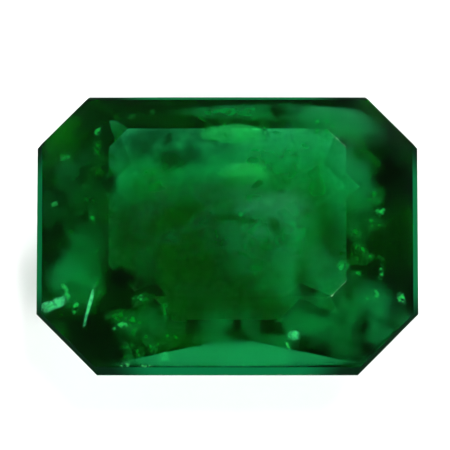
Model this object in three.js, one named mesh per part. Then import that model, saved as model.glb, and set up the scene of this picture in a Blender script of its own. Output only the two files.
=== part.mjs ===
// A loose emerald, cut as a rectangle with cut corners: a flat table, a crown of triangles, a
// thin girdle, and a pavilion of three steps that ends in a broad flat culet.
// Millimetres, +Z up, +X along the length. The origin is the middle of the culet's footprint,
// on which the stone stands. The whole stone is one crystal, so it is one solid.

import * as THREE from "three";
import { ConvexGeometry } from "three/addons/geometries/ConvexGeometry.js";

// Girdle, the widest outline of the stone
const GIRDLE_LENGTH = 11.0;
const GIRDLE_WIDTH = 8.5;
const GIRDLE_WALL = 0.12;
const GIRDLE_CORNER_BACK = 1.5;
const GIRDLE_CORNER_FRONT = 1.75;

// Steep narrow facets that rise from the girdle all the way round
const BEVEL_HEIGHT = 0.17;
const BEVEL_INSET = 0.125;
const BEVEL_CORNER_INSET = 0.03;

// Crown and table
const CROWN_HEIGHT = 0.84;
const TABLE_LENGTH = 6.85;
const TABLE_WIDTH = 5.15;
const TABLE_SHIFT = 0.395; // the table was ground a little off centre, towards +Y
const TABLE_CORNER_BACK = 0.55;
const TABLE_CORNER_FRONT_LEFT = 0.9;
const TABLE_CORNER_FRONT_RIGHT = 0.45;
const CROWN_APEX_INSET_SIDE = 0.8; // the point where the four triangles of a long side meet
const CROWN_APEX_HEIGHT_FRONT = 0.47;
const CROWN_APEX_HEIGHT_BACK = 0.58;
const CROWN_APEX_INSET_END = 0.66;
const CROWN_APEX_HEIGHT_END = 0.4;

// Pavilion: three steps from the girdle down to the culet, each less steep than the one above
const PAVILION_DEPTH = 3.28;
const UPPER_STEP_DEPTH = 1.4;
const UPPER_STEP_LENGTH = 8.7;
const UPPER_STEP_WIDTH = 7.1;
const UPPER_STEP_CORNER_BACK = 1.15;
const UPPER_STEP_CORNER_FRONT = 1.4;
const MIDDLE_STEP_DEPTH = 2.35;
const MIDDLE_STEP_LENGTH = 6.9;
const MIDDLE_STEP_WIDTH = 5.25;
const MIDDLE_STEP_CORNER_BACK = 0.65;
const MIDDLE_STEP_CORNER_FRONT = 0.92;
const CULET_LENGTH = 4.2;
const CULET_WIDTH = 2.95;
const CULET_CORNER_BACK = 0.35;
const CULET_CORNER_FRONT = 0.6;

// A cut corner runs a little further along the ends than along the long sides
const CORNER_SKEW = 1.06;

const CULET_Z = 0;
const GIRDLE_BOTTOM_Z = CULET_Z + PAVILION_DEPTH;
const GIRDLE_TOP_Z = GIRDLE_BOTTOM_Z + GIRDLE_WALL;
const TABLE_Z = GIRDLE_TOP_Z + CROWN_HEIGHT;

const SIGNS = [1, -1];

function cornerCuts(back, frontLeft, frontRight = frontLeft) {
  return { backRight: back, backLeft: back, frontLeft, frontRight };
}

function cornerName(signX, signY) {
  return (signY > 0 ? "back" : "front") + (signX > 0 ? "Right" : "Left");
}

const girdleCorners = cornerCuts(GIRDLE_CORNER_BACK, GIRDLE_CORNER_FRONT);
const tableCorners = cornerCuts(
  TABLE_CORNER_BACK,
  TABLE_CORNER_FRONT_LEFT,
  TABLE_CORNER_FRONT_RIGHT,
);
const upperStepCorners = cornerCuts(UPPER_STEP_CORNER_BACK, UPPER_STEP_CORNER_FRONT);
const middleStepCorners = cornerCuts(MIDDLE_STEP_CORNER_BACK, MIDDLE_STEP_CORNER_FRONT);
const culetCorners = cornerCuts(CULET_CORNER_BACK, CULET_CORNER_FRONT);

// Eight points at one height: a rectangle with its corners cut, all cuts at one slant, so that
// the facets between two such rings are flat
function ring(length, width, corners, z, shift = 0) {
  const points = [];
  for (const signX of SIGNS) {
    for (const signY of SIGNS) {
      const cut = corners[cornerName(signX, signY)];
      const x = length / 2;
      const y = width / 2;
      points.push(new THREE.Vector3(signX * (x - cut), signY * y + shift, z));
      points.push(new THREE.Vector3(signX * x, signY * (y - cut * CORNER_SKEW) + shift, z));
    }
  }
  return points;
}

// The girdle's corner cuts, moved in by the bevel so that each corner keeps its own narrow facet
function bevelRing() {
  const shrunk = {};
  for (const [name, cut] of Object.entries(girdleCorners)) {
    const lineMove = BEVEL_CORNER_INSET * Math.hypot(1, CORNER_SKEW) / CORNER_SKEW;
    const sideMove = BEVEL_INSET + BEVEL_INSET / CORNER_SKEW;
    shrunk[name] = cut - sideMove + lineMove;
  }
  const length = GIRDLE_LENGTH - 2 * BEVEL_INSET;
  const width = GIRDLE_WIDTH - 2 * BEVEL_INSET;
  return ring(length, width, shrunk, GIRDLE_TOP_Z + BEVEL_HEIGHT);
}

function crownPoints() {
  const points = [
    ...ring(GIRDLE_LENGTH, GIRDLE_WIDTH, girdleCorners, GIRDLE_TOP_Z),
    ...bevelRing(),
    ...ring(TABLE_LENGTH, TABLE_WIDTH, tableCorners, TABLE_Z, TABLE_SHIFT),
  ];
  for (const sign of SIGNS) {
    const y = sign * (GIRDLE_WIDTH / 2 - CROWN_APEX_INSET_SIDE);
    const height = sign > 0 ? CROWN_APEX_HEIGHT_BACK : CROWN_APEX_HEIGHT_FRONT;
    points.push(new THREE.Vector3(0, y, GIRDLE_TOP_Z + height));
    const x = sign * (GIRDLE_LENGTH / 2 - CROWN_APEX_INSET_END);
    points.push(new THREE.Vector3(x, 0, GIRDLE_TOP_Z + CROWN_APEX_HEIGHT_END));
  }
  return points;
}

function pavilionPoints() {
  const upperZ = GIRDLE_BOTTOM_Z - UPPER_STEP_DEPTH;
  const middleZ = GIRDLE_BOTTOM_Z - MIDDLE_STEP_DEPTH;
  return [
    ...ring(GIRDLE_LENGTH, GIRDLE_WIDTH, girdleCorners, GIRDLE_BOTTOM_Z),
    ...ring(UPPER_STEP_LENGTH, UPPER_STEP_WIDTH, upperStepCorners, upperZ),
    ...ring(MIDDLE_STEP_LENGTH, MIDDLE_STEP_WIDTH, middleStepCorners, middleZ),
    ...ring(CULET_LENGTH, CULET_WIDTH, culetCorners, CULET_Z),
  ];
}

// Every facet is a plane, and the stone is the solid that the facets enclose
function cutStone() {
  return new ConvexGeometry([...crownPoints(), ...pavilionPoints()]);
}

const emeraldMaterial = new THREE.MeshStandardMaterial({
  color: 0x075a2b,
  roughness: 0.04,
  metalness: 0,
});

const emerald = new THREE.Mesh(cutStone(), emeraldMaterial);
emerald.name = "emerald";

const stone = new THREE.Group();
stone.add(emerald);

export default stone;
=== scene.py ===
# %% [markdown]
# A loose cut emerald on a white table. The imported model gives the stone's facets at their real
# size, and this lesson dresses them: the worn facet edges, the clear green crystal, the
# fissures and clouds inside it, and a soft studio light that shows them.

# %% The frame
import math
import random

import bpy
from mathutils import Matrix, Vector


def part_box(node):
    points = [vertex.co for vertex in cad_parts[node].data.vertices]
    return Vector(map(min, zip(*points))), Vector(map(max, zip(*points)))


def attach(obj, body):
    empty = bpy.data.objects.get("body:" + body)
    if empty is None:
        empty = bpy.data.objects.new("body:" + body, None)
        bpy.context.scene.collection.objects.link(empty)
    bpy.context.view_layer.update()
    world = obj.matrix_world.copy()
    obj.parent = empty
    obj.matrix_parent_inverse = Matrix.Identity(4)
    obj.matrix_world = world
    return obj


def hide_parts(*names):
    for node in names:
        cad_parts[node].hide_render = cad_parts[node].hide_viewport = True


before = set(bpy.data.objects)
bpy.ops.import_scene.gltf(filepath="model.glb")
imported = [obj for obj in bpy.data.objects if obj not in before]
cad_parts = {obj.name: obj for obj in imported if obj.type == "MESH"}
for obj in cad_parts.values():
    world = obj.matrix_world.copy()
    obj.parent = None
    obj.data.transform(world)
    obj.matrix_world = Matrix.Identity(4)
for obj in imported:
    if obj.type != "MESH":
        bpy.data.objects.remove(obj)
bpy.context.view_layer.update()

MM = 0.001


stone_low, stone_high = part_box("emerald")
print("the stone is", [round(side / MM, 2) for side in stone_high - stone_low], "mm")

# %% [markdown]
# Colours are given as they are seen on a screen, in sRGB hex, and shaders work in linear light.
# One function turns the first into the second, and one more adds a node with its settings
# and links, so that every material below reads as a short list of nodes.

# %% Helpers for colours and nodes
DARK_END = 0.04045  # up to here the sRGB curve is a straight line
DARK_SLOPE = 12.92
CURVE_SHIFT = 0.055
CURVE_POWER = 2.4
FULL = 255


def linear(hex_colour):
    channels = [int(hex_colour[start : start + 2], 16) / FULL for start in (1, 3, 5)]
    steps = [
        c / DARK_SLOPE if c <= DARK_END else ((c + CURVE_SHIFT) / (1 + CURVE_SHIFT)) ** CURVE_POWER
        for c in channels
    ]
    return (*steps, 1.0)


def grey(value):
    return (value, value, value, 1.0)


def add_node(tree, kind, settings=None, values=None, links=None):
    node = tree.nodes.new(kind)
    for name, value in (settings or {}).items():
        setattr(node, name, value)
    for name, value in (values or {}).items():
        node.inputs[name].default_value = value
    for name, source in (links or {}).items():
        tree.links.new(source, node.inputs[name])
    return node


def new_material(name):
    material = bpy.data.materials.new(name)
    material.use_nodes = True
    material.node_tree.nodes.clear()
    return material, material.node_tree


print("mid green in linear light:", [round(c, 3) for c in linear("#007332")])

# %% [markdown]
# Pieces are made with the same tools as by hand. A tool acts on all that is selected, so
# everything is deselected before a new piece comes in. What a tool needs every time, such as
# the whole mesh selected in edit mode, or a modifier applied, is a small helper.

# %% Helpers for pieces
def deselect_all():
    bpy.ops.object.select_all(action="DESELECT")


def make_active(piece):
    deselect_all()
    piece.select_set(True)
    bpy.context.view_layer.objects.active = piece


def put_in_scene(piece):
    bpy.context.scene.collection.objects.link(piece)


def edit_whole_mesh():
    bpy.ops.object.mode_set(mode="EDIT")
    bpy.ops.mesh.select_all(action="SELECT")


def stop_editing():
    bpy.ops.object.mode_set(mode="OBJECT")


def give_wall(piece, thickness):
    # An offset of 0 lets the wall grow to both sides of the sheet
    wall = piece.modifiers.new("wall", "SOLIDIFY")
    wall.thickness = thickness
    wall.offset = 0.0
    bpy.ops.object.modifier_apply(modifier=wall.name)


print("packed pieces:", list(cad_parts))

# %% [markdown]
# The stone itself. A cutter grinds each facet as a flat plane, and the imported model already
# holds those planes, so the piece starts as a copy of it. The copy is loose triangles: they are
# merged, and the flat neighbours become one face again. Then every edge gets a very narrow
# flat, because the edges of a worn emerald are never knife sharp and that line catches light.

# %% The cut stone
EDGE_WEAR = 0.0015 * MM
MERGE_DISTANCE = 0.001 * MM
FLAT_ANGLE = math.radians(0.4)
UPRIGHT = 0.01  # a wall's normal has next to no upward part
STEEP = 0.7  # and the steep facets above the girdle have less than this


def facet_planes(piece):
    return [(face.center.copy(), face.normal.copy()) for face in piece.data.polygons]


def height_range(piece, least_lean, most_lean):
    faces = [face for face in piece.data.polygons if least_lean < face.normal.z < most_lean]
    heights = [piece.data.vertices[corner].co.z for face in faces for corner in face.vertices]
    return min(heights), max(heights)


def cut_stone():
    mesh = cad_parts["emerald"].data.copy()
    mesh.materials.clear()
    piece = bpy.data.objects.new("cut_stone", mesh)
    put_in_scene(piece)
    make_active(piece)
    edit_whole_mesh()
    bpy.ops.mesh.remove_doubles(threshold=MERGE_DISTANCE)
    bpy.ops.mesh.dissolve_limited(angle_limit=FLAT_ANGLE)
    stop_editing()
    planes = facet_planes(piece)
    wall = height_range(piece, -UPRIGHT, UPRIGHT)
    strip = height_range(piece, -UPRIGHT, STEEP)
    edit_whole_mesh()
    bpy.ops.mesh.bevel(offset=EDGE_WEAR, segments=1, affect="EDGES")
    bpy.ops.mesh.select_all(action="SELECT")
    bpy.ops.mesh.normals_make_consistent(inside=False)
    stop_editing()
    bpy.ops.object.shade_flat()
    return piece, planes, wall, strip


stone, facets, girdle_wall, matt_strip = cut_stone()
print("facets:", len(facets), "faces with their worn edges:", len(stone.data.polygons))
print("matt strip from", [round(height / MM, 2) for height in matt_strip], "mm")

# %% [markdown]
# The stone has three finishes at three heights. The crown has a good polish. The pavilion
# behind it has a soft one, which blurs what is mirrored inside. The strip round the girdle is
# ground and left matt, so it lets less light through. Its teal is partly the frosted crystal's
# own green and partly painted light that stands for light let through the stone, and it turns
# darker towards the cut corners, which is painted shade. One mesh carries all three, because it
# is one crystal, and ramps along its height say where each finish begins.

# %% Where each finish begins
# Painted light: the strip's teal is partly the frosted crystal's own green and partly light let
# through the stone, and the corner green is painted shade
STRIP_TEAL_AND_GLOW = "#02582f"
CORNER_PAINTED_SHADE = "#021a0b"
TEAL_REACH = 1.35
CORNER_REACH = 1.6
NEW_STOP = 0.5  # where a ramp's third stop comes in, before it gets its own height


def by_height(tree, height, pavilion, strip, crown):
    node = add_node(tree, "ShaderNodeValToRGB", links={"Fac": height})
    ramp = node.color_ramp
    ramp.interpolation = "CONSTANT"
    ramp.elements.new(NEW_STOP)
    starts = (stone_low.z, matt_strip[0], matt_strip[1])
    for stop, start, colour in zip(ramp.elements, starts, (pavilion, strip, crown)):
        stop.position = start / stone_high.z
        stop.color = colour
    return node.outputs["Color"]


# The strip's painted light: teal in the middle of each side, turning to painted shade towards the
# cut corners
def strip_colour_and_painted_light(tree, place):
    # The reach is 1 at the middle of each side and grows towards the corners
    half = (stone_high - stone_low) / 2
    outward = add_node(
        tree,
        "ShaderNodeVectorMath",
        settings={"operation": "ABSOLUTE"},
        links={"Vector": place.outputs["Object"]},
    )
    reach = add_node(
        tree,
        "ShaderNodeVectorMath",
        settings={"operation": "DOT_PRODUCT"},
        links={0: outward.outputs["Vector"]},
        values={1: (1 / half.x, 1 / half.y, 0.0)},
    )
    share = add_node(
        tree,
        "ShaderNodeMapRange",
        settings={"interpolation_type": "SMOOTHSTEP"},
        values={"From Min": TEAL_REACH, "From Max": CORNER_REACH},
        links={"Value": reach.outputs["Value"]},
    )
    ramp = add_node(tree, "ShaderNodeValToRGB", links={"Fac": share.outputs["Result"]})
    for stop, colour in zip(ramp.color_ramp.elements, (STRIP_TEAL_AND_GLOW, CORNER_PAINTED_SHADE)):
        stop.color = linear(colour)
    return ramp.outputs["Color"]


print("the strip is", round((matt_strip[1] - matt_strip[0]) / MM, 2), "mm high")

# %% [markdown]
# Emerald is beryl coloured by chromium. It is clear, so its colour is not on the surface: light
# loses red first, then blue, on its way through the crystal. That is a plain absorption in the
# volume. Thin places stay teal and pale, and long ways through the stone turn deep green. Its
# IOR is 1.577. A slow ripple is left in the polish by the grinding wheel, far too shallow to
# see, but it bends what is seen through the stone.

# %% Polished emerald
EMERALD_IOR = 1.577
EMERALD_PASSES = "#00ebc4"
EMERALD_DENSITY = 1650.0  # for one metre
PAVILION_ROUGHNESS = 0.2
STRIP_ROUGHNESS = 0.5
CROWN_ROUGHNESS = 0.07
STRIP_CLEARNESS = 0.03
STRIP_GLOSS = 0.0
CLEAR_GLOSS = 0.5
RIPPLE_MM = 1.4
RIPPLE_DETAIL = 2.0
RIPPLE_STRENGTH = 0.1
RIPPLE_DEPTH = 0.02 * MM


def polished_emerald():
    # Clear and deep green, with sharp highlights on the crown and none on the matt strip
    material, tree = new_material("polished_emerald")
    place = add_node(tree, "ShaderNodeTexCoord")
    axes = add_node(tree, "ShaderNodeSeparateXYZ", links={"Vector": place.outputs["Object"]})
    height = add_node(
        tree,
        "ShaderNodeMapRange",
        values={"From Min": stone_low.z, "From Max": stone_high.z},
        links={"Value": axes.outputs["Z"]},
    ).outputs["Result"]
    polish = (grey(PAVILION_ROUGHNESS), grey(STRIP_ROUGHNESS), grey(CROWN_ROUGHNESS))
    clearness = (grey(1.0), grey(STRIP_CLEARNESS), grey(1.0))
    gloss = (grey(CLEAR_GLOSS), grey(STRIP_GLOSS), grey(CLEAR_GLOSS))
    on_strip = by_height(tree, height, grey(0.0), grey(1.0), grey(0.0))
    # The base colour carries the strip's painted glow and painted corner shade, and stays white
    # elsewhere
    base_and_painted_strip = add_node(
        tree,
        "ShaderNodeMixRGB",
        values={"Color1": grey(1.0)},
        links={"Fac": on_strip, "Color2": strip_colour_and_painted_light(tree, place)},
    )
    ripple = add_node(
        tree,
        "ShaderNodeTexNoise",
        values={"Scale": 1 / (RIPPLE_MM * MM), "Detail": RIPPLE_DETAIL},
        links={"Vector": place.outputs["Object"]},
    )
    bump = add_node(
        tree,
        "ShaderNodeBump",
        values={"Strength": RIPPLE_STRENGTH, "Distance": RIPPLE_DEPTH},
        links={"Height": ripple.outputs["Fac"]},
    )
    surface = add_node(
        tree,
        "ShaderNodeBsdfPrincipled",
        values={"IOR": EMERALD_IOR},
        links={
            "Base Color": base_and_painted_strip.outputs["Color"],
            "Transmission Weight": by_height(tree, height, *clearness),
            "Specular IOR Level": by_height(tree, height, *gloss),
            "Roughness": by_height(tree, height, *polish),
            "Normal": bump.outputs["Normal"],
        },
    )
    body = add_node(
        tree,
        "ShaderNodeVolumeAbsorption",
        values={"Color": linear(EMERALD_PASSES), "Density": EMERALD_DENSITY},
    )
    add_node(
        tree,
        "ShaderNodeOutputMaterial",
        links={"Surface": surface.outputs["BSDF"], "Volume": body.outputs["Volume"]},
    )
    return material


stone.data.materials.append(polished_emerald())
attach(stone, "root")
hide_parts("emerald")
print("the stone is made of", stone.data.materials[0].name)

# %% [markdown]
# The camera looks down at the table of the stone, tipped a little from straight above towards
# the near long side. A long lens from far away keeps the outline's opposite edges parallel.
# It comes before the inclusions, because they are placed by where it sees them.

# %% The camera
PICTURE_SIDE = 450
CAMERA_ELEVATION = math.radians(70)
CAMERA_DISTANCE = 0.3
SENSOR_MM = 36.0
VIEW_WIDTH = 13.0 * MM
AIM_RIGHT = -0.07 * MM
AIM_UP = 0.31 * MM
NEAREST_SEEN = 0.01
FARTHEST_SEEN = 10

back = Vector((0, -math.cos(CAMERA_ELEVATION), math.sin(CAMERA_ELEVATION)))
up = Vector((0, math.sin(CAMERA_ELEVATION), math.cos(CAMERA_ELEVATION)))
aim = Vector((AIM_RIGHT, 0, sum(girdle_wall) / 2)) + up * AIM_UP
eye = aim + back * CAMERA_DISTANCE


def make_camera():
    data = bpy.data.cameras.new("camera")
    data.sensor_width = SENSOR_MM
    data.lens = SENSOR_MM * CAMERA_DISTANCE / VIEW_WIDTH
    data.clip_start = NEAREST_SEEN
    data.clip_end = FARTHEST_SEEN
    camera = bpy.data.objects.new("camera", data)
    camera.location = eye
    camera.rotation_euler = (-back).to_track_quat("-Z", "Y").to_euler()
    put_in_scene(camera)
    bpy.context.scene.camera = camera
    return camera


print("lens:", round(make_camera().data.lens), "mm")

# %% [markdown]
# An emerald is known by what grew in it: healed fissures like thin veils, small flat cracks
# that flash, and grains of other minerals. Each is placed by a point of the picture: a ray from
# the camera goes to the stone, bends at the facet it meets, and runs on into the crystal for a
# given way. So it is seen at that point, and it lies at a true place inside the stone.

# %% A place inside the stone
TEST_WAY_MM = 1.0


def picture_size(pixels):
    return pixels * VIEW_WIDTH / PICTURE_SIDE


def seen_inside(right_px, down_px, way_mm):
    scale = VIEW_WIDTH / PICTURE_SIDE
    across = (right_px - PICTURE_SIDE / 2) * scale
    rise = (PICTURE_SIDE / 2 - down_px) * scale
    ray = (aim + Vector((across, 0, 0)) + up * rise - eye).normalized()
    hit, point, normal, _ = stone.ray_cast(eye, ray)
    if not hit:
        raise ValueError(f"no stone at {right_px}, {down_px}")
    cosine = -normal.dot(ray)
    bend = 1 / EMERALD_IOR
    inside = ray * bend + normal * (bend * cosine - math.sqrt(1 - bend**2 * (1 - cosine**2)))
    return point + inside.normalized() * way_mm * MM


def inside_by(spot):
    return min(normal.dot(centre - spot) for centre, normal in facets)


def clearance(piece):
    return min(inside_by(corner.co) for corner in piece.data.vertices)


def facing_camera(turn, tip):
    # A turn goes round the line of sight, and a tip of 0 faces the camera
    facing = back.to_track_quat("Z", "Y").to_matrix().to_4x4()
    turned = Matrix.Rotation(math.radians(turn), 4, "Z")
    tipped = Matrix.Rotation(math.radians(tip), 4, "X")
    return facing @ turned @ tipped


middle = seen_inside(PICTURE_SIDE / 2, PICTURE_SIDE / 2, TEST_WAY_MM)
print("under the picture's middle:", [round(c / MM, 2) for c in middle])

# %% [markdown]
# A healed fissure is a crack that closed while the crystal grew and kept a fog of tiny drops.
# Its fog is thick in the middle and fades in patches towards the rim, which its own UV map
# carries. It scatters light to both sides, so it glows wherever the light comes from. The same
# sheet in other colours and patches is a haze of green grains, a nearly black sheet of painted
# shade, or a small open crack, which holds a film of air and is brighter, with ragged gaps where
# its walls still touch.

# %% Where a sheet is cloudy
SHEET_PATCH_MM = 0.8
PATCH_DETAIL = 2.5
PATCH_STARTS = 0.3  # below this level of the noise a sheet is clear
PATCH_FILLS = 0.7  # and from this level on it is as thick as it gets
RIM_FADE = 0.7  # the share of the radius over which the fog thins out


def patches_of(tree, place, size_mm, starts, most):
    noise = add_node(
        tree,
        "ShaderNodeTexNoise",
        values={"Scale": 1 / (size_mm * MM), "Detail": PATCH_DETAIL},
        links={"Vector": place.outputs["Object"]},
    )
    return add_node(
        tree,
        "ShaderNodeMapRange",
        settings={"interpolation_type": "SMOOTHSTEP"},
        values={"From Min": starts, "From Max": PATCH_FILLS, "To Max": most},
        links={"Value": noise.outputs["Fac"]},
    ).outputs["Result"]


def faded_to_rim(tree, place, rim):
    # The UV map's middle is moved to 0 and its rim to 1, where the round gradient ends
    centred = add_node(
        tree,
        "ShaderNodeMapping",
        values={"Location": (-1.0, -1.0, 0.0), "Scale": (2.0, 2.0, 1.0)},
        links={"Vector": place.outputs["UV"]},
    )
    to_rim = add_node(
        tree,
        "ShaderNodeTexGradient",
        settings={"gradient_type": "SPHERICAL"},
        links={"Vector": centred.outputs["Vector"]},
    )
    return add_node(
        tree,
        "ShaderNodeMapRange",
        settings={"interpolation_type": "SMOOTHSTEP"},
        values={"From Min": 0.0, "From Max": rim},
        links={"Value": to_rim.outputs["Fac"]},
    ).outputs["Result"]


print("patches of a fog:", SHEET_PATCH_MM, "mm")

# %% A cloudy sheet
LIGHT_THROUGH = 0.4  # the share of the light that is scattered on to the far side


def lit_both_ways(tree, colour):
    near = add_node(tree, "ShaderNodeBsdfDiffuse", values={"Color": linear(colour)})
    far = add_node(tree, "ShaderNodeBsdfTranslucent", values={"Color": linear(colour)})
    return add_node(
        tree,
        "ShaderNodeMixShader",
        values={"Fac": LIGHT_THROUGH},
        links={1: near.outputs["BSDF"], 2: far.outputs["BSDF"]},
    ).outputs["Shader"]


def cloudy_sheet(
    name, colour, most, starts=PATCH_STARTS, patch_mm=SHEET_PATCH_MM, rim=RIM_FADE
):
    material, tree = new_material(name)
    place = add_node(tree, "ShaderNodeTexCoord")
    soft = faded_to_rim(tree, place, rim)
    patches = patches_of(tree, place, patch_mm, starts, most)
    amount = add_node(
        tree,
        "ShaderNodeMath",
        settings={"operation": "MULTIPLY"},
        links={0: patches, 1: soft},
    )
    clear = add_node(tree, "ShaderNodeBsdfTransparent")
    veiled = add_node(
        tree,
        "ShaderNodeMixShader",
        links={
            "Fac": amount.outputs["Value"],
            1: clear.outputs["BSDF"],
            2: lit_both_ways(tree, colour),
        },
    )
    add_node(tree, "ShaderNodeOutputMaterial", links={"Surface": veiled.outputs["Shader"]})
    return material


print("light that a sheet lets through:", LIGHT_THROUGH)

# %% [markdown]
# The fogs are drops of brine in healed fissures. They are one pale green at several strengths:
# the more drops, the milkier the place looks. The haze is grains of mica and other dark minerals,
# too fine to be seen one by one, which only tint what is behind it. The dark sheets are painted
# shade, which dims the stone where it is seen dark. A real patch of drops is some tenths of a
# millimetre across.

# %% Fogs, haze, and sheets of painted light and shade
FOG_GREEN = "#52dc9c"
BAND_PATCH_MM = 0.35
BAND_RIM = 0.35
EVEN = 0.0  # noise of any level counts, so no clear gaps are left between the patches

# A breath of milk that only lifts the deep green behind it
FAINT_FOG = cloudy_sheet("faint_fissure_fog", FOG_GREEN, 0.4)
# About as faint, but without gaps, so a whole area looks paler
SMOOTH_FOG = cloudy_sheet("smooth_fissure_fog", FOG_GREEN, 0.45, EVEN)
# Mottled, so that straight facet edges behind it are hard to follow
THIN_FOG = cloudy_sheet("thin_fissure_fog", FOG_GREEN, 0.72)
# Milky in its middle, for fissures deep down that look bright through the table
THICK_FOG = cloudy_sheet("thick_fissure_fog", FOG_GREEN, 0.95)
# Painted light: a flat teal glow just under one facet, which makes that facet look lit
PAINTED_FACET_LIGHT = cloudy_sheet("painted_facet_light", "#3ce69a", 0.36, EVEN)
# Painted reflections: small bright streaks with soft ends, where the pavilion mirrors light
PAINTED_REFLECTION_BAND = cloudy_sheet(
    "painted_reflection_band", "#5cff9c", 0.39, EVEN, BAND_PATCH_MM, BAND_RIM
)
# Painted shade: nearly black sheets where the stone is seen dark, which look like holes in the
# glow
PAINTED_SHADE_CLOUD = cloudy_sheet("painted_shade_cloud", "#06200c", 0.95)
# Fainter painted shade that only dims
PAINTED_SHADE_DUST = cloudy_sheet("painted_shade_dust", "#03200a", 0.55, 0.1)
# A dull middle green in clumps, which makes the depth of the stone look uneven
GREEN_HAZE = cloudy_sheet("mottled_green_haze", "#1a7a40", 0.9, 0.35)
print("inside the crystal:", THIN_FOG.name, PAINTED_SHADE_CLOUD.name, GREEN_HAZE.name)

# %% [markdown]
# Every veil, haze and cloud is a thin curved sheet. A plane would look cut out, and a volume
# would need a fog without an edge, so it starts as a disc of triangles that can be bent. It is
# stretched, turned, frayed by a cloud pattern so that it is neither flat nor round, and given a
# wall a hundredth of a millimetre thick. Where it would leave the crystal, it is laid along the
# inner side of the facet instead.

# %% A frayed disc that stays in the stone
FRAY_DEPTH = 2
FRAY_MIDDLE = 0.5
FACET_GAP = 0.04 * MM
PASSES = 12  # a point near a corner is pushed by several facets in turn


def disc(name, sides, cuts):
    deselect_all()
    bpy.ops.mesh.primitive_circle_add(
        vertices=sides, radius=1.0, fill_type="TRIFAN", calc_uvs=True
    )
    piece = bpy.context.object
    piece.name = name
    edit_whole_mesh()
    bpy.ops.mesh.subdivide(number_cuts=cuts)
    stop_editing()
    return piece


def fray(piece, size, strength):
    clouds = bpy.data.textures.new(piece.name + "_clouds", "CLOUDS")
    clouds.noise_scale = size
    clouds.noise_depth = FRAY_DEPTH
    bend = piece.modifiers.new("fray", "DISPLACE")
    bend.texture = clouds
    bend.texture_coords = "LOCAL"
    bend.direction = "RGB_TO_XYZ"
    bend.mid_level = FRAY_MIDDLE
    bend.strength = strength
    bpy.ops.object.modifier_apply(modifier=bend.name)


def laid_inside(spot):
    for _ in range(PASSES):
        if inside_by(spot) >= FACET_GAP:
            break
        for centre, normal in facets:
            spot = spot - normal * max(0.0, FACET_GAP - normal.dot(centre - spot))
    return spot


print("gap that is kept to the facets:", FACET_GAP / MM, "mm")

# %% Shaping a veil
VEIL_WALL = 0.01 * MM
VEIL_SIDES = 32
VEIL_CUTS = 3
FRAY_SHARE = 0.15


def add_inclusion(piece, material):
    piece.data.materials.append(material)
    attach(piece, "root")
    print(piece.name, "clears the facets by", round(clearance(piece) / MM, 2), "mm")


def veil(
    name, right_px, down_px, way_mm, length_px, width_px, turn, tip, fog,
    sides=VEIL_SIDES, fray_share=FRAY_SHARE,
):
    piece = disc(name, sides, VEIL_CUTS)
    half_length, half_width = picture_size(length_px / 2), picture_size(width_px / 2)
    piece.scale = (half_length, half_width, MM)
    piece.rotation_euler = facing_camera(turn, tip).to_euler()
    piece.location = seen_inside(right_px, down_px, way_mm)
    bpy.ops.object.transform_apply(location=True, rotation=True, scale=True)
    fray(piece, half_length, half_width * fray_share)
    for corner in piece.data.vertices:
        corner.co = laid_inside(corner.co)
    give_wall(piece, VEIL_WALL)
    add_inclusion(piece, fog)


print("a veil's wall:", VEIL_WALL / MM, "mm")

# %% [markdown]
# The veils lie where the stone is seen pale and milky: a large bright window right of the
# table's middle and softer fog towards the corners. Two short bright bands near its far edge are
# painted reflections of the pavilion.
# One sheet of painted light fills the middle facet of the near side so that it looks lit. The
# sheets of painted shade lie at the ends and in the corners, and the haze breaks up what the
# pavilion mirrors. Stacked sheets of thin fog look deeper than one thick sheet.

# %% The veils, the haze, and the sheets of painted light and shade
FACET_SHAPE = (3, 0.01)  # three sides and next to no fray
BAND_SHAPE = (9, 1.8)  # few sides and much fray, so the band is ragged

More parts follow.
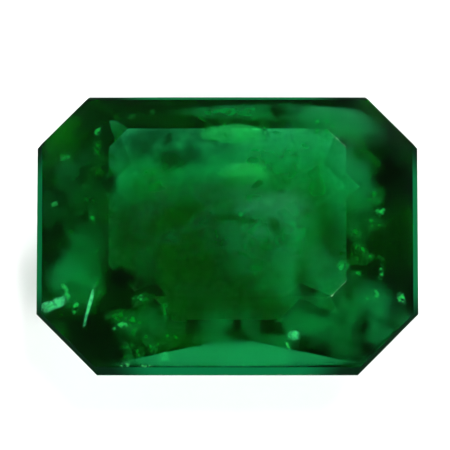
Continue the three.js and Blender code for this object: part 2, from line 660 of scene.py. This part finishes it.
# Right and down in the picture in pixels, the way into the crystal in mm, length and width in
# pixels, turn and tip in degrees, the material, and where needed the sides and the fray
VEILS = {
    "veil_window": (288, 190, 1.5, 130, 160, 10, 12, THIN_FOG),
    "veil_window_deep": (268, 232, 2.0, 120, 150, -6, -14, THICK_FOG),
    "veil_window_near": (275, 165, 0.8, 150, 90, 12, 6, THIN_FOG),
    "veil_upper_right": (336, 120, 0.5, 120, 56, -12, 6, SMOOTH_FOG),
    "veil_left": (158, 172, 1.6, 100, 70, 15, -10, THIN_FOG),
    "veil_left_core": (155, 169, 1.2, 56, 30, 8, 5, THIN_FOG),
    # Painted reflections: bright sheets where the pavilion mirrors light near the table's far edge
    "painted_reflection_high": (230, 134, 0.45, 78, 15, 4, 8, PAINTED_REFLECTION_BAND, *BAND_SHAPE),
    "painted_reflection_high_deeper": (236, 137, 0.6, 60, 18, -4, 4, PAINTED_REFLECTION_BAND, *BAND_SHAPE),
    "painted_reflection_middle": (244, 173, 0.45, 64, 26, 0, 8, PAINTED_REFLECTION_BAND, *BAND_SHAPE),
    "painted_reflection_middle_deeper": (248, 174, 0.6, 44, 26, 4, 4, PAINTED_REFLECTION_BAND, *BAND_SHAPE),
    "veil_low_band": (213, 211, 0.4, 40, 14, 2, 6, THIN_FOG),
    "veil_window_low": (272, 236, 0.45, 120, 150, 8, 0, FAINT_FOG),
    "veil_window_core": (268, 234, 1.2, 130, 150, 8, -8, THICK_FOG),
    # Painted light: a flat triangle of glow that makes the middle facet of the near side look lit
    "painted_light_front": (236, 357, 0.2, 310, 38, 0, 0, PAINTED_FACET_LIGHT, *FACET_SHAPE),
    "painted_light_front_deeper": (236, 357, 0.3, 310, 38, 0, 0, PAINTED_FACET_LIGHT, *FACET_SHAPE),
    "veil_front_middle": (258, 330, 0.9, 190, 54, 0, 0, FAINT_FOG),
    "veil_table_right": (308, 278, 0.6, 90, 80, 0, 5, FAINT_FOG),
    "veil_right_of_table": (354, 192, 0.7, 56, 130, 0, 0, FAINT_FOG),
    "veil_left_of_table": (82, 262, 1.1, 58, 120, 0, 0, FAINT_FOG),
    "veil_front_right": (306, 322, 0.9, 130, 40, 30, -6, FAINT_FOG),
    "veil_right_corner": (368, 326, 0.9, 130, 100, -45, 5, FAINT_FOG),
    "veil_front_left": (150, 324, 1.2, 80, 40, 24, 10, FAINT_FOG),
    "veil_left_end": (72, 282, 0.9, 70, 60, -30, 10, SMOOTH_FOG),
    "haze_under_table": (200, 244, 0.6, 250, 170, 0, 0, GREEN_HAZE),
    "haze_left_end": (78, 200, 0.7, 90, 150, 0, 0, GREEN_HAZE),
    "veil_back_right": (288, 112, 0.9, 110, 30, 0, 0, THIN_FOG),
    "veil_back": (258, 112, 0.9, 210, 28, 0, 0, THIN_FOG),
    # The nearly black sheets from here on are painted shade, put where the stone is seen dark
    "shade_dust_upper_left": (168, 144, 0.9, 190, 64, 0, 0, PAINTED_SHADE_DUST),
    "shade_cloud_upper_left": (79, 132, 0.8, 22, 20, 40, 0, PAINTED_SHADE_CLOUD),
    "shade_cloud_left": (57, 232, 0.8, 14, 30, 0, 0, PAINTED_SHADE_CLOUD),
    "shade_cloud_table_corner": (124, 278, 0.9, 40, 26, -40, 0, PAINTED_SHADE_CLOUD),
    "shade_cloud_front_left": (122, 347, 0.7, 54, 26, 35, 0, PAINTED_SHADE_CLOUD),
    "shade_cloud_left_corner": (84, 330, 0.6, 40, 22, -30, 0, PAINTED_SHADE_CLOUD),
    "shade_cloud_upper_right": (392, 170, 1.0, 44, 50, 0, 0, PAINTED_SHADE_CLOUD),
    "shade_cloud_left_of_table": (103, 180, 0.9, 30, 44, 0, 0, PAINTED_SHADE_CLOUD),
    "shade_dust_right_end": (397, 238, 0.8, 46, 60, 0, 0, PAINTED_SHADE_DUST),
    "shade_dust_table_low_left": (148, 287, 0.5, 44, 26, 0, 0, PAINTED_SHADE_DUST),
}

for name, place_and_fog in VEILS.items():
    veil(name, *place_and_fog)
print("sheets in the stone:", len(VEILS))

# %% [markdown]
# A small open crack is a flake of air with ragged walls, a fraction of a millimetre wide. It
# mirrors and scatters light, so it is the brightest thing in the stone. One flake is modelled
# from a disc with its points pushed about, and every crack is a copy of it at its own size,
# place and turn.

# %% One ragged flake
FLAKE_SIDES = 9
FLAKE_CUTS = 1
FLAKE_RAGGEDNESS = 0.4
FLAKE_WALL = 0.06
FLAKE_SEED = 4


def ragged_flake():
    piece = disc("flake", FLAKE_SIDES, FLAKE_CUTS)
    edit_whole_mesh()
    bpy.ops.transform.vertex_random(offset=FLAKE_RAGGEDNESS, seed=FLAKE_SEED)
    stop_editing()
    give_wall(piece, FLAKE_WALL)
    return piece


flake = ragged_flake()
print("a flake has", len(flake.data.polygons), "faces")

# %% A crack where it is seen
def settled(turned, size, spot):
    # The whole flake moves inwards until every corner clears the facets
    corners = [turned @ (corner.co * size) for corner in flake.data.vertices]
    for _ in range(PASSES):
        for centre, normal in facets:
            nearest = min(normal.dot(centre - spot - corner) for corner in corners)
            spot = spot - normal * max(0.0, FACET_GAP - nearest)
    return spot


def crack(spot, length, width, turn, tip):
    piece = flake.copy()
    piece.data = flake.data.copy()
    put_in_scene(piece)
    placed = facing_camera(turn, tip)
    size = Vector((length / 2, width / 2, min(length, width) / 2))
    piece.rotation_euler = placed.to_euler()
    piece.scale = size
    piece.location = settled(placed.to_3x3(), size, spot)
    return piece


def joined(name, pieces):
    deselect_all()
    for piece in pieces:
        piece.select_set(True)
    bpy.context.view_layer.objects.active = pieces[0]
    bpy.ops.object.join()
    whole = bpy.context.object
    bpy.ops.object.transform_apply(location=True, rotation=True, scale=True)
    whole.name = name
    return whole


print("cracks are copies of", flake.name)

# %% [markdown]
# The cracks that the eye finds first have names and places of their own: the flashes, which
# are nearly white, and the bright specks and streaks. The rest are strewn by chance through the
# two ends, the near left corner and the far side, where a stone that was cut from a whole
# crystal keeps most of its cracks. The chance has a fixed seed, so every run strews the same.

# %% The air in a crack
CRACK_PATCH_MM = 0.14
DULL_PATCH_MM = 0.22
WHOLE_RADIUS = 1.0

# A wide open crack, nearly white; more than 1 fills it up to its ragged edge
FLASHING_CRACK = cloudy_sheet(
    "flashing_open_crack", "#a8ffd0", 1.5, 0.15, CRACK_PATCH_MM, WHOLE_RADIUS
)
# A bright green one, with gaps where its walls touch
BRIGHT_CRACK = cloudy_sheet(
    "bright_open_crack", "#90f0a8", 1.8, 0.35, CRACK_PATCH_MM, WHOLE_RADIUS
)
# A thin one with little air in it, a dull glint in the dark
DULL_CRACK = cloudy_sheet(
    "dull_open_crack", "#45cf74", 0.8, 0.25, DULL_PATCH_MM, WHOLE_RADIUS
)
print("from bright to dull:", FLASHING_CRACK.name, BRIGHT_CRACK.name, DULL_CRACK.name)

# %% Where the cracks are
# Right and down in the picture, length and width, all in pixels, the turn in degrees, and the
# way into the crystal in mm
FLASHES = {
    "flash_left_edge": (52, 304, 22, 8, 26, 0.45),
    "flash_left_tip": (44, 307, 10, 9, 50, 0.45),
    "streak_left_long": (89, 306, 34, 3.5, 76, 0.35),
    "speck_front": (165, 357, 9, 8, 20, 0.4),
    "speck_front_right": (294, 335, 11, 9, 10, 0.5),
}
SPECKS = {
    "speck_upper_left": (98, 131, 9, 7, 80, 0.9),
    "speck_left_high": (65, 158, 9, 5, 5, 1.1),
    "speck_left_mid": (54, 204, 7, 5, 30, 0.6),
    "streak_left_short": (65, 289, 22, 6, -65, 0.7),
    "streak_left_low": (75, 307, 12, 5, 80, 0.9),
    "speck_front_left": (122, 326, 15, 4.5, 28, 0.6),
    "speck_table_corner": (139, 299, 10, 3.5, 4, 0.8),
    "speck_front_edge_left": (125, 365, 9, 3.5, 8, 0.25),
    "speck_front_edge_mid": (146, 366, 9, 3.5, 0, 0.25),
    "tail_front_right": (287, 344, 10, 3, -50, 0.5),
    "speck_right_low": (374, 296, 8, 7, 60, 0.8),
    "speck_right_edge": (401, 298, 7, 11, 10, 0.7),
    "streak_right": (381, 273, 18, 4, 85, 1.0),
    "speck_right_table": (341, 266, 9, 7, 40, 0.9),
    "speck_right_end": (380, 211, 9, 7, 10, 0.9),
}
# The left, upper, right and lower edge of each area in the picture, in pixels
CRACKED_AREAS = {
    "left_end": (42, 150, 105, 310),
    "right_end": (350, 195, 412, 300),
    "front_left": (85, 300, 175, 362),
    "back": (110, 103, 330, 126),
}
print("named cracks:", len(FLASHES) + len(SPECKS))

# %% The small cracks
HALO = 1.6  # a crack's rim fades, so its flake is larger than what shines
NAMED_TIP = 8
SEED = 17
STREWN_PER_AREA = 40
STREWN_WAY_MM = (0.8, 2.8)
STREWN_LENGTH_MM = (0.3, 1.3)
STREWN_WIDTH_SHARE = (0.3, 0.9)
HALF_TURN = 180
STREWN_TIP = 50


def named_cracks(places):
    pieces = []
    for right_px, down_px, length_px, width_px, turn, way_mm in places.values():
        spot = seen_inside(right_px, down_px, way_mm)
        length, width = picture_size(length_px * HALO), picture_size(width_px * HALO)
        tip = chance.uniform(-NAMED_TIP, NAMED_TIP)
        pieces.append(crack(spot, length, width, turn, tip))
    return pieces


def strewn_cracks():
    pieces = []
    for left_px, top_px, right_px, bottom_px in CRACKED_AREAS.values():
        for _ in range(STREWN_PER_AREA):
            across, down = chance.uniform(left_px, right_px), chance.uniform(top_px, bottom_px)
            spot = seen_inside(across, down, chance.uniform(*STREWN_WAY_MM))
            length = chance.uniform(*STREWN_LENGTH_MM) * MM
            width = length * chance.uniform(*STREWN_WIDTH_SHARE)
            turn = chance.uniform(0, HALF_TURN)
            tip = chance.uniform(-STREWN_TIP, STREWN_TIP)
            if inside_by(spot) > length / 2:
                pieces.append(crack(spot, length, width, turn, tip))
    return pieces


chance = random.Random(SEED)
add_inclusion(joined("flashes", named_cracks(FLASHES)), FLASHING_CRACK)
add_inclusion(joined("bright_cracks", named_cracks(SPECKS)), BRIGHT_CRACK)
add_inclusion(joined("strewn_cracks", strewn_cracks()), DULL_CRACK)
bpy.data.objects.remove(flake)

# %% [markdown]
# The table under the stone is plain matt white card. It is large enough that no view looks
# past its edge.

# %% The white card
CARD_SIZE = 4.0
CARD_GAP = 0.01 * MM
CARD_WHITE = "#f4f4f4"
CARD_ROUGHNESS = 0.9
CARD_SHEEN = 0.1


def white_card():
    # Paper fibres scatter nearly all light evenly, so it looks white and has no highlight
    material, tree = new_material("matt_white_card")
    surface = add_node(
        tree,
        "ShaderNodeBsdfPrincipled",
        values={
            "Base Color": linear(CARD_WHITE),
            "Roughness": CARD_ROUGHNESS,
            "Specular IOR Level": CARD_SHEEN,
        },
    )
    add_node(tree, "ShaderNodeOutputMaterial", links={"Surface": surface.outputs["BSDF"]})
    deselect_all()
    bpy.ops.mesh.primitive_plane_add(size=CARD_SIZE, location=(0, 0, stone_low.z - CARD_GAP))
    card = bpy.context.object
    card.name = "card"
    card.data.materials.append(material)


white_card()
print("the card is", CARD_SIZE, "m wide")

# %% [markdown]
# Soft light, as for photographing a stone: a large key lamp behind on the right, a smaller fill
# lamp in front on the left, one nearly overhead, one low in front, and a dim room. All four
# stand where none of the upper facets mirrors them at the camera, so the green inside shows
# instead of white glare.

# %% The lamps
LAMP_DISTANCE = 0.8
TARGET_SHARE = 0.6  # the lamps point at this share of the stone's height
ROOM_WHITE = "#ffffff"
ROOM_STRENGTH = 0.02

# Azimuth and elevation in degrees, side in metres, power in watts. Azimuth 0 is in front of the
# stone, at the camera's side, and 90 is on its right
LAMPS = {
    "key_lamp": (157, 46, 0.3, 5.5),
    "fill_lamp": (-50, 48, 0.15, 5.5),
    "top_lamp": (110, 76, 0.2, 3.0),
    "front_lamp": (35, 36, 0.2, 4.0),
}

target = Vector((0, 0, stone_high.z * TARGET_SHARE))


def lamp(name, azimuth, elevation, side, power):
    turn, rise = math.radians(azimuth), math.radians(elevation)
    away = Vector(
        (math.sin(turn) * math.cos(rise), -math.cos(turn) * math.cos(rise), math.sin(rise))
    )
    data = bpy.data.lights.new(name, "AREA")
    data.shape = "SQUARE"
    data.size = side
    data.energy = power
    piece = bpy.data.objects.new(name, data)
    piece.location = target + away * LAMP_DISTANCE
    piece.rotation_euler = (-away).to_track_quat("-Z", "Y").to_euler()
    piece.visible_camera = False
    put_in_scene(piece)


for name, place_and_power in LAMPS.items():
    lamp(name, *place_and_power)

room = bpy.data.worlds.new("dim_room")
bpy.context.scene.world = room
room.use_nodes = True
walls = room.node_tree.nodes["Background"]
walls.inputs["Color"].default_value = linear(ROOM_WHITE)
walls.inputs["Strength"].default_value = ROOM_STRENGTH
print("lamps:", list(LAMPS))

# %% [markdown]
# Light enters a cut stone and is mirrored many times before it leaves, so the renderer needs
# more bounces than for plain glass. The picture is shown without a film look, because a film
# look would grey the deep green.

# %% How light is followed
BOUNCES = 32
BOUNCES_THROUGH = 28  # passing into and out of the crystal
BOUNCES_MIRRORED = 16
SHEETS_CROSSED = 24

scene = bpy.context.scene
scene.cycles.max_bounces = BOUNCES
scene.cycles.transmission_bounces = BOUNCES_THROUGH
scene.cycles.glossy_bounces = BOUNCES_MIRRORED
scene.cycles.transparent_max_bounces = SHEETS_CROSSED
scene.view_settings.view_transform = "Standard"
print("light is followed for", scene.cycles.max_bounces, "bounces")
